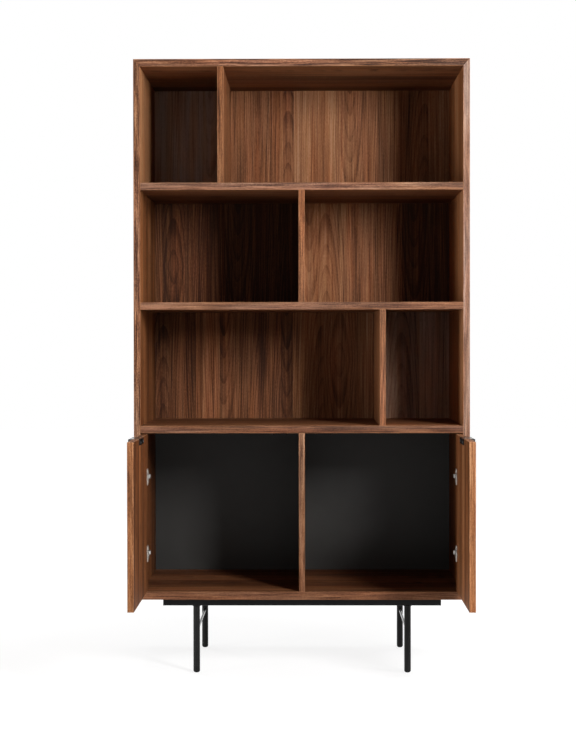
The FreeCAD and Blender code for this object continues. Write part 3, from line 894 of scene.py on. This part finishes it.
def solids_in(node: str) -> Iterator[np.ndarray]:
    """The points of each separate solid in a frame node.

    Equal points are made one. Each point starts with its own number, and every triangle passes its
    lowest number to its corners until nothing changes, so a solid ends with one number.

    Args:
        node: the node's name.

    Returns:
        One array of points for each solid.
    """
    mesh = frame["nodes"][node].data
    spots = np.empty(len(mesh.vertices) * 3, np.float32)
    mesh.vertices.foreach_get("co", spots)
    spots, same = np.unique(np.round(spots.reshape(-1, 3).astype(float), 6), axis=0, return_inverse=True)
    mesh.calc_loop_triangles()
    corners = np.empty(len(mesh.loop_triangles) * 3, np.int32)
    mesh.loop_triangles.foreach_get("vertices", corners)
    corners = same.reshape(-1)[corners].reshape(-1, 3)
    number = np.arange(len(spots))
    changed = True
    while changed:
        before = number.copy()
        np.minimum.at(number, corners, number[corners].min(1)[:, None])
        changed = bool((before != number).any())
    for solid in np.unique(number):
        yield spots[number == solid]


@dataclass(frozen=True)
class Screw:
    """A pan-head screw with a cross recess and a thread, sized from its plain solid.

    The seat is the point under the head on the screw's axis, and out is the direction of the head. The
    drop of the head's crown and the recess are shares of the head's height, and the thread's pitch and
    depth are shares of the shank's radius.
    """

    seat: np.ndarray
    out: np.ndarray
    head_radius: float
    head_height: float
    shank_radius: float
    length: float
    around: int = 40
    crown_drop: float = 0.25
    recess_depth: float = 0.55
    pitch: float = 0.55
    thread_depth: float = 0.2

    @classmethod
    def read(cls, points: np.ndarray) -> "Screw":
        """Finds a screw's axis, head and shank in the points of its solid.

        The axis is the direction whose two others are equally wide, and the head is at the end where
        points lie farthest from it.

        Args:
            points: the solid's points.

        Returns:
            The screw.
        """
        low, high = points.min(0), points.max(0)
        size = high - low
        axis = int(np.argmin([abs(size[(k + 1) % 3] - size[(k + 2) % 3]) for k in range(3)]))
        middle = (low + high) / 2
        away = np.delete(points - middle, axis, axis=1)
        radius = np.hypot(away[:, 0], away[:, 1])
        along = points[:, axis]
        wide = along[radius > 0.9 * radius.max()]
        headed_up = wide.mean() > middle[axis]
        out = np.zeros(3)
        out[axis] = 1.0 if headed_up else -1.0
        seat = middle.copy()
        seat[axis] = wide.min() if headed_up else wide.max()
        thin = radius[radius < 0.9 * radius.max()]
        return cls(
            seat, out, float(radius.max()), float(np.ptp(wide)), float(thin.max()),
            float(size[axis] - np.ptp(wide)),
        )

    def recess(self, x: np.ndarray, y: np.ndarray) -> np.ndarray:
        """How deep the cross recess is: one inside either slot, with sloping walls.

        Args:
            x: the places along the first slot, from the head's middle.
            y: the places along the second slot.

        Returns:
            The shares of the recess's depth.
        """
        wide, long, wall = 0.15 * self.head_radius, 0.56 * self.head_radius, 0.10 * self.head_radius

        def inside(offset: np.ndarray, half: float) -> np.ndarray:
            """One within the half width, falling to zero over the wall."""
            return np.clip((half - np.abs(offset)) / wall + 0.5, 0, 1)

        return np.maximum(inside(x, wide) * inside(y, long), inside(y, wide) * inside(x, long))

    def surface(self) -> Surface:
        """The screw as one grid of rings from the middle of the head to the tip.

        Over the head the height is the head's, less the crown's drop times the fourth power of the
        radius, less the recess. Down the shank the radius is the shank's, less the thread's depth times
        a triangle wave of the height over the pitch plus the turn, so that the thread climbs once each
        turn. A fan of triangles closes each end.

        Returns:
            The points and the faces.
        """
        turn = np.linspace(0, 2 * np.pi, self.around, endpoint=False)[None, :]
        share = np.linspace(0.02, 1, 15)[:, None]
        top_radius = share * self.head_radius * np.ones_like(turn)
        x, y = top_radius * np.cos(turn), top_radius * np.sin(turn)
        top = self.head_height * (1 - self.crown_drop * share ** 4 - self.recess_depth * self.recess(x, y))
        rim_radius = self.head_radius * np.array([1.0, 0.985])[:, None]
        rim_height = self.head_height * np.array([0.12, 0.0])[:, None]
        pitch = self.pitch * self.shank_radius
        steps = max(6, int(self.length / pitch * 4))
        down = np.linspace(0, 1, steps)[:, None] * 0.93 * self.length
        wave = np.abs(2 * np.mod(down / pitch + turn / (2 * np.pi), 1) - 1)
        bite = np.clip(down / (2 * pitch), 0, 1)
        thread_radius = self.shank_radius * (1 - self.thread_depth * wave * bite)
        tip_radius = self.shank_radius * np.array([0.5, 0.04])[:, None]
        tip_height = -self.length * np.array([0.97, 1.0])[:, None]
        flat = np.zeros_like(turn)
        radius = np.concatenate([top_radius, rim_radius + flat, thread_radius, tip_radius + flat])
        height = np.concatenate([top, rim_height + flat, flat - down, tip_height + flat])
        across = np.roll(self.out, 1)
        upward = np.cross(self.out, across)
        points = (
            self.seat
            + (radius * np.cos(turn))[..., None] * across
            + (radius * np.sin(turn))[..., None] * upward
            + height[..., None] * self.out
        )
        ring_points = points.reshape(-1, 3)
        ends = np.stack([ring_points[:self.around].mean(0), ring_points[-self.around:].mean(0)])
        faces = grid_faces(len(points), self.around, True, False)[:, ::-1]
        column = np.arange(self.around)
        after = (column + 1) % self.around
        last_row = len(ring_points) - self.around
        hub = np.full_like(column, len(ring_points))
        lid = np.stack([column, after, hub, hub], 1)
        tip = np.stack([last_row + after, last_row + column, hub + 1, hub + 1], 1)
        return np.concatenate([ring_points, ends]), np.concatenate([faces, lid, tip])


@dataclass
class Fasteners:
    """The screws, each a detailed piece in place of its plain solid."""

    finishes: Finishes
    black_nodes: tuple[str, ...] = ("back_screws", "base_screws", "pull_screws_left", "pull_screws_right")
    bright_nodes: tuple[str, ...] = (
        "hinge_plate_screws", "hinge_arm_screws", "cup_screws_left", "cup_screws_right",
    )

    def build(self) -> None:
        """Makes one piece for each node of screws and puts it in the node's place."""
        for nodes, material, slot in (
            (self.black_nodes, self.finishes.blackened, "black_screws"),
            (self.bright_nodes, self.finishes.bright, "bright_steel"),
        ):
            for node in nodes:
                points, faces = joined([Screw.read(solid).surface() for solid in solids_in(node)])
                piece = place_piece(f"{node}_cut", points, faces)
                piece.data.materials.append(material)
                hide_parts(node)
                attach(piece, frame["nodes"][node]["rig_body"])
                LOG.info("made %s with %d faces", piece.name, len(faces))


@dataclass
class Case:
    """The walnut boards of the case, its back and its hidden joints."""

    finishes: Finishes
    lower_level: float = 0.659
    middle_level: float = 0.990
    upper_level: float = 1.310
    half_depth: float = 0.25
    middle_height: float = 0.93
    # below zero: the inner faces get a deeper, warmer colour, painted warm light bounced off the walnut in
    # the bays
    inner_ash: float = -0.18

    def back_bands(self) -> Bands:
        """The leaves behind the three rows.

        Returns:
            The bands, the lowest row first.
        """
        valley, eye, flame = Figure
        # the pale leaves from the middle rightwards are painted light that lifts the lower row's shade
        lower = Layup.of(
            (-0.45, -0.41, 0.80, flame, 0.16), (-0.394, -0.30, 0.70, flame, 0.35),
            (-0.351, -0.26, 0.90, valley, 0.24), (-0.316, -0.20, 0.90, flame, 0.34),
            (-0.293, -0.34, 0.85, flame, 0.50), (-0.245, -0.23, 0.76, valley, 0.31),
            (-0.202, -0.10, 0.72, flame, 0.48), (-0.131, -0.20, 0.80, valley, 0.25),
            (-0.109, -0.03, 0.80, flame, 0.34), (-0.063, -0.045, 0.72, valley, 0.30),
            (-0.029, 0.06, 0.80, flame, 0.58), (0.06, 0.11, 0.84, eye, 0.56),
            (0.16, 0.30, 0.80, flame, 0.60), (0.217, 0.29, 0.78, flame, 0.58, 0.30),
            (0.34, 0.24, 0.80, valley, 0.70, 0.34),
        )
        # the left bay is toned dark, darkest from -0.23 to 0 in the middle divider's shadow, and the leaves
        # from 0.29 on lie in the right side's shadow: painted shade
        middle = Layup.of(
            (-0.45, -0.52, 1.10, flame, 0.34), (-0.412, -0.378, 1.115, eye, 0.17),
            (-0.346, -0.22, 1.10, flame, 0.28), (-0.292, -0.40, 1.20, flame, 0.18),
            (-0.23, -0.19, 1.12, valley, 0.08), (-0.14, -0.02, 1.15, flame, 0.06),
            (-0.05, -0.14, 1.15, flame, 0.10), (0.0, 0.02, 1.15, valley, 0.64),
            (0.046, 0.069, 1.13, flame, 0.62), (0.144, 0.28, 1.10, valley, 0.39),
            (0.168, 0.06, 1.10, flame, 0.57), (0.215, 0.33, 1.10, flame, 0.42),
            (0.29, 0.33, 1.16, valley, 0.08), (0.37, 0.27, 1.16, flame, 0.08),
        )
        # the three pale leaves left of the upper divider are painted light in that bay's shade
        upper = Layup.of(
            (-0.45, -0.30, 1.40, flame, 0.90, 0.34), (-0.36, -0.46, 1.45, flame, 0.98, 0.40),
            (-0.29, -0.27, 1.52, valley, 0.96, 0.37), (-0.217, -0.32, 1.45, flame, 0.45),
            (-0.15, -0.02, 1.45, flame, 0.55), (-0.094, -0.25, 1.46, valley, 0.45),
            (-0.058, -0.040, 1.43, flame, 0.41), (-0.025, 0.17, 1.50, flame, 0.80),
            (0.045, -0.06, 1.50, valley, 0.70), (0.112, 0.142, 1.47, valley, 0.56),
            (0.178, 0.30, 1.45, flame, 0.57), (0.222, 0.10, 1.45, valley, 0.48),
            (0.29, 0.36, 1.45, flame, 0.54), (0.37, 0.28, 1.45, valley, 0.66),
        )
        return ((-1.0, lower), (self.middle_level, middle), (self.upper_level, upper))

    def side_bands(self, seed: int, *tones: float) -> Bands:
        """The leaves of a side: the outer face, then the inner one from the cabinet up.

        Args:
            seed: which pick of leaves this is.
            tones: the mean tones outside, in the cabinet and in the lower, middle and upper row.

        Returns:
            The bands, the lowest first.
        """
        levels = (-1.0, -0.5, self.lower_level, self.middle_level, self.upper_level)
        picks = (
            Layup.mixed(
                -self.half_depth, self.half_depth, self.middle_height, seed + number, tone,
                ash=self.inner_ash if number else Leaf.ash,
            )
            for number, tone in enumerate(tones)
        )
        return tuple(zip(levels, picks))

    def boards(self) -> list[VeneerBoard]:
        """Every veneered board of the case.

        Returns:
            The boards, each with its seed, its tone, and the tone, grey and contrast of its edges, the edge
            grey being painted sheen.
        """
        x, y, z = Axis
        # the inner tones follow each row's light, painted light and shade: the left side pale in the upper
        # row, the right side pale in the lower row
        left = self.side_bands(11, 0.52, 0.26, 0.30, 0.52, 0.86)
        right = self.side_bands(71, 0.52, 0.50, 0.92, 0.78, 0.64)
        return [
            # the right side's edges are paler and greyer than the left's: painted light and sheen from the
            # lamps on the right
            VeneerBoard("side_panel_left", x, z, 11, 0.0, 0.41, 0.14, 1.6, left),
            VeneerBoard("side_panel_right", x, z, 12, 0.0, 0.50, 0.42, 0.92, right, -1.0),
            # the faces of the top, bottom and shelves are toned darker: painted shade on their undersides
            # and on the cabinet floor
            VeneerBoard("top_panel", z, x, 13, -0.10, 0.31, 0.20, 1.5),
            VeneerBoard("bottom_panel", z, x, 14, -0.12, 0.39, 0.12, 0.78),
            VeneerBoard("upper_shelf", z, x, 15, -0.18, 0.35, 0.21, 1.05),
            VeneerBoard("middle_shelf", z, x, 16, -0.20, 0.36, 0.21, 0.80),
            VeneerBoard("lower_shelf", z, x, 17, -0.10, 0.28, 0.19, 0.70),
            VeneerBoard("upper_divider", x, z, 18, 0.02, 0.27, 0.05),
            VeneerBoard("middle_divider", x, z, 19, 0.02, 0.47, 0.07),
            VeneerBoard("lower_divider", x, z, 20, 0.02, 0.53, 0.10),
            VeneerBoard("cabinet_divider", x, z, 21, 0.0, 0.53, 0.16),
            VeneerBoard("upper_back_panel", y, z, 22, 0.0, 0.5, bands=self.back_bands()),
        ]

    def build(self) -> None:
        """Dresses the boards, the dark back of the cabinet and the joints."""
        for board in self.boards():
            dress(board.node, board.dress(self.finishes.grain))
        dress("cabinet_back_panel", self.finishes.laminate)
        for node in ("corner_splines", "shelf_dowels", "divider_dowels"):
            dress(node, self.finishes.beech)


@dataclass
class Doors:
    """The two doors with their pulls and the stops that they close on."""

    finishes: Finishes
    free_edge: float = -0.66
    hinge_edge: float = -0.23
    middle_height: float = 0.44
    # the doors' inner faces get the same deeper, warmer colour, painted warm bounce light
    inner_ash: float = -0.15

    def bands(self, seed: int) -> Bands:
        """Calm leaves outside, and inside leaves of clearly different tone from free edge to hinges.

        Args:
            seed: which pick of outer leaves this is.

        Returns:
            The outer and the inner band.
        """
        valley, eye, flame = Figure
        outside = Layup.mixed(self.free_edge, self.hinge_edge, self.middle_height, seed, leaf_width=0.10)
        inside = Layup.of(*((*row, self.inner_ash) for row in (
            (-0.66, -0.70, 0.40, flame, 0.22), (-0.625, -0.58, 0.45, valley, 0.44),
            (-0.56, -0.50, 0.50, flame, 0.28), (-0.51, -0.47, 0.38, eye, 0.54),
            (-0.43, -0.36, 0.42, flame, 0.34), (-0.36, -0.33, 0.50, valley, 0.52),
            (-0.29, -0.20, 0.44, flame, 0.40),
        )))
        return ((-1.0, outside), (-0.5, inside))

    def build(self) -> None:
        """Dresses the doors, the pulls and the stops."""
        # the left door is toned darker than the right: painted shade that damps the key lamp on its inner
        # face
        for side, seed, tone, inward in (("left", 31, -0.16, 1.0), ("right", 32, 0.08, -1.0)):
            board = VeneerBoard(
                f"door_{side}", Axis.X, Axis.Z, seed, tone, 0.62, edge_sheen_grey=0.03,
                bands=self.bands(seed), banded=inward,
            )
            dress(board.node, board.dress(self.finishes.grain))
            dress(f"door_pull_{side}", self.finishes.rod_steel)
            dress(f"door_stop_{side}", self.finishes.plastic)


@dataclass
class Hinges:
    """The four cup hinges."""

    finishes: Finishes

    def build(self) -> None:
        """Dresses the cups, pins, arms and plates."""
        parts = {"cup": self.finishes.bright, "pin": self.finishes.bright}
        # the arms and plates take the darker copy of the plate: painted shade
        parts |= {"arm": self.finishes.dull_shaded_nickel, "plate": self.finishes.dull_shaded_nickel}
        for side, level, part in product(SIDES, ("upper", "lower"), parts):
            dress(f"hinge_{part}_{level}_{side}", parts[part])


@dataclass
class Base:
    """The steel base: rails, legs and stretchers, with the welds between them."""

    finishes: Finishes
    bead: float = 0.0016
    ripples: int = 46
    bead_points: int = 10
    path_points: int = 184

    def bead_along(self, path: np.ndarray) -> Surface:
        """A weld bead: a circle carried along a closed path, its radius swelling with each ripple.

        The circle lies in the plane of the path's two normals. Its radius is the bead's, times one
        plus an eighth of a rectified sine of the share of the path gone, so that the ripples follow.

        Args:
            path: the points of the closed path.

        Returns:
            The points and the faces.
        """
        ahead = np.roll(path, -1, 0) - np.roll(path, 1, 0)
        ahead /= np.linalg.norm(ahead, axis=1, keepdims=True)
        outward = path - path.mean(0)
        side = np.cross(ahead, outward)
        side /= np.linalg.norm(side, axis=1, keepdims=True)
        rise = np.cross(side, ahead)
        share = np.arange(len(path)) / len(path)
        radius = self.bead * (1 + 0.125 * np.abs(np.sin(np.pi * self.ripples * share)))
        turn = np.linspace(0, 2 * np.pi, self.bead_points, endpoint=False)
        points = path[:, None] + radius[:, None, None] * (
            np.cos(turn)[None, :, None] * rise[:, None] + np.sin(turn)[None, :, None] * side[:, None]
        )
        return points.reshape(-1, 3), grid_faces(len(path), self.bead_points, True, True)

    def leg_top(self, node: str) -> np.ndarray:
        """The circle where a leg meets the rail over it, a third of a bead out and down.

        Args:
            node: the leg's node.

        Returns:
            The points of the closed path.
        """
        low, high = map(np.array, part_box(node))
        turn = np.linspace(0, 2 * np.pi, self.path_points, endpoint=False)
        radius = (high[0] - low[0]) / 2 + self.bead / 3
        middle = (low + high) / 2
        height = np.full_like(turn, high[2] - self.bead / 3)
        return np.stack([middle[0] + radius * np.cos(turn), middle[1] + radius * np.sin(turn), height], 1)

    def stretcher_end(self, stretcher: str, leg: str) -> np.ndarray:
        """The saddle where a stretcher meets a leg.

        The stretcher's circle in X and Z is laid on the leg's cylinder: the distance from the leg's
        axis in Y is the root of the leg's radius squared less the offset in X squared.

        Args:
            stretcher: the stretcher's node.
            leg: the leg's node.

        Returns:
            The points of the closed path.
        """
        bar_low, bar_high = map(np.array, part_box(stretcher))
        leg_low, leg_high = map(np.array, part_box(leg))
        turn = np.linspace(0, 2 * np.pi, self.path_points // 2, endpoint=False)
        radius = (bar_high[2] - bar_low[2]) / 2 + self.bead / 3
        leg_radius = (leg_high[0] - leg_low[0]) / 2
        middle = (bar_low + bar_high) / 2
        leg_y = (leg_low[1] + leg_high[1]) / 2
        inward = np.sign(middle[1] - leg_y)
        offset = radius * np.cos(turn)
        y = leg_y + inward * (np.sqrt(leg_radius ** 2 - offset ** 2) + self.bead / 3)
        return np.stack([middle[0] + offset, y, middle[2] + radius * np.sin(turn)], 1)

    def legs(self) -> list[tuple[str, str]]:
        """The side and the node of each leg."""
        return [(side, f"leg_{place}_{side}") for side, place in product(SIDES, ("front", "rear"))]

    def welds(self) -> None:
        """Makes the beads at the legs' heads and at the stretchers' ends, as one piece."""
        paths = []
        for side, leg in self.legs():
            paths += [self.leg_top(leg), self.stretcher_end(f"stretcher_{side}", leg)]
        piece = place_piece("base_welds", *joined([self.bead_along(path) for path in paths]))
        piece.data.materials.append(self.finishes.steel)
        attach(piece, "case")
        LOG.info("made %s", piece.name)

    def build(self) -> None:
        """Dresses the steel and the plastic of the base and adds the welds."""
        for material, nodes in (
            (self.finishes.steel, ("front_rail", "rear_rail", "left_cross_rail", "right_cross_rail")),
            (self.finishes.leg_steel_painted_light, [leg for _, leg in self.legs()]),
            (self.finishes.rod_steel, ("stretcher_left", "stretcher_right")),
            (self.finishes.plastic, ("rail_end_caps", "foot_glides")),
        ):
            for node in nodes:
                dress(node, material)
        self.welds()


@dataclass(frozen=True)
class SoftBox:
    """A flat studio lamp that looks at a point."""

    name: str
    at: Point
    towards: Point
    size: Pair
    power: float

    def build(self) -> None:
        """Hangs the lamp."""
        lamp = bpy.data.lights.new(self.name, "AREA")
        lamp.shape = "RECTANGLE"
        lamp.size, lamp.size_y = self.size
        lamp.energy = self.power
        hung = bpy.data.objects.new(self.name, lamp)
        hung.location = self.at
        look = Vector(self.towards) - Vector(self.at)
        hung.rotation_euler = look.to_track_quat("-Z", "Y").to_euler()
        hung.visible_camera = False
        bpy.context.scene.collection.objects.link(hung)
        LOG.info("hung %s", self.name)


@dataclass
class Studio:
    """A white floor and backdrop, soft lamps all round and the camera."""

    camera_at: Point = (0.0146, -5.2239, 0.8898)
    camera_tilt: float = -0.702
    camera_turn: float = 0.590
    camera_roll: float = -0.0725
    lens: float = 91.40
    ambient: float = 0.04
    floor_half: float = 14.0
    floor_share: float = 0.42
    floor_shade: float = 0.30
    floor_glow: Pair = (0.80, 1.0)
    glow_reach: Pair = (0.6, 2.6)
    floor_points: int = 9
    floor_drop: float = 0.0005
    lamps: tuple[SoftBox, ...] = (
        SoftBox("key_lamp", (1.40, -2.68, 1.68), (0.0, -0.25, 0.95), (0.50, 0.90), 83.0),
        SoftBox("left_lamp", (-3.04, -1.91, 0.90), (0.1, -0.2, 0.80), (1.20, 1.60), 60.0),
        SoftBox("right_lamp", (2.35, -1.55, 1.40), (-0.1, -0.2, 0.95), (0.80, 1.40), 36.0),
        SoftBox("front_lamp", (-0.30, -4.00, 1.50), (0.0, -0.2, 0.90), (2.00, 2.00), 8.0),
        SoftBox("rear_left_lamp", (-2.40, 2.90, 1.00), (0.0, 0.2, 0.80), (1.20, 1.40), 60.0),
        SoftBox("rear_right_lamp", (2.60, 3.20, 0.95), (0.0, 0.2, 0.80), (1.20, 1.40), 50.0),
        SoftBox("overhead_lamp", (0.0, 0.60, 3.80), (0.0, 0.2, 1.65), (1.60, 1.60), 36.0),
    )

    def seen_straight(self, graph: NodeGraph) -> tuple[Socket, Socket]:
        """Tells the rays apart that show the background.

        Args:
            graph: the graph to add to.

        Returns:
            Whether a ray comes from the camera, and whether it comes off a mirror or through glass.
        """
        rays = graph.node("ShaderNodeLightPath").outputs
        mirrored = graph.most(rays["Is Glossy Ray"], rays["Is Transmission Ray"])
        return rays["Is Camera Ray"], mirrored

    def world(self) -> None:
        """White behind the object, to the camera and to mirrors that face it, and dim elsewhere."""
        world = bpy.data.worlds.new("studio")
        bpy.context.scene.world = world
        graph = NodeGraph(emptied(world))
        camera, mirrored = self.seen_straight(graph)
        _, depth, _ = graph.split(graph.node("ShaderNodeTexCoord").outputs["Generated"])
        behind = graph.step(depth, -0.1, 0.3)
        white = graph.most(camera, graph.times(mirrored, behind))
        inputs = {"Color": WHITE, "Strength": graph.mix(white, self.ambient, 1.0)}
        sky = graph.node("ShaderNodeBackground", inputs).outputs[0]
        graph.node("ShaderNodeOutputWorld", {"Surface": sky})

    def floor(self) -> None:
        """A wide pale floor that glows white to the camera and keeps the object's shadow.

        The glow is a little under white around the origin and rises to white with the distance from
        it, so that the floor meets the backdrop without a line.
        """
        side = np.linspace(-self.floor_half, self.floor_half, self.floor_points)
        x, y = np.meshgrid(side, side)
        points = np.stack([x, y, np.full_like(x, -self.floor_drop)], -1).reshape(-1, 3)
        plane = place_piece("floor", points, grid_faces(self.floor_points, self.floor_points, False, False))
        graph = MaterialGraph("pale_floor")
        camera, mirrored = self.seen_straight(graph)
        tint = graph.mix(camera, self.floor_share, self.floor_shade)
        matt = graph.node("ShaderNodeBsdfDiffuse", {"Color": graph.vector(tint, tint, tint)}).outputs[0]
        away = graph.node("ShaderNodeVectorMath", {0: graph.here()}, operation="LENGTH").outputs["Value"]
        white = graph.mix(graph.step(away, *self.glow_reach), *self.floor_glow)
        strength = graph.times(graph.most(camera, mirrored), white)
        glow = graph.node("ShaderNodeEmission", {"Strength": strength}).outputs[0]
        both = graph.node("ShaderNodeAddShader", {0: matt, 1: glow}).outputs[0]
        plane.data.materials.append(graph.close(both))
        plane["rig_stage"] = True

    def camera(self) -> None:
        """Sets the camera up where the object was seen from."""
        lens = bpy.data.cameras.new("camera")
        lens.lens = self.lens
        lens.sensor_width = 36.0
        lens.clip_end = 100.0
        camera = bpy.data.objects.new("camera", lens)
        pose = Matrix.Translation(self.camera_at)
        for angle, axis in ((self.camera_turn, "Z"), (90 + self.camera_tilt, "X"), (self.camera_roll, "Z")):
            pose = pose @ Matrix.Rotation(math.radians(angle), 4, axis)
        camera.matrix_world = pose
        bpy.context.scene.collection.objects.link(camera)
        bpy.context.scene.camera = camera

    def build(self) -> None:
        """Sets the studio up."""
        bpy.context.scene.view_settings.view_transform = "Standard"
        self.world()
        self.floor()
        for lamp in self.lamps:
            lamp.build()
        self.camera()
        LOG.info("set the studio up")


def corners(box: tuple[Vector, Vector]) -> list[list[float]]:
    """A box as plain lists of numbers."""
    return [list(corner) for corner in box]


def main() -> None:
    """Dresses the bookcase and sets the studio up."""
    logging.basicConfig(level=logging.INFO, format="%(message)s")
    solid_box = corners(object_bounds())
    finishes = Finishes()
    for assembly in (
        Case(finishes), Doors(finishes), Hinges(finishes), Base(finishes), Fasteners(finishes), Studio(),
    ):
        assembly.build()
    {"cad": solid_box, "visual": corners(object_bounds())}


if __name__ == "__main__":
    main()
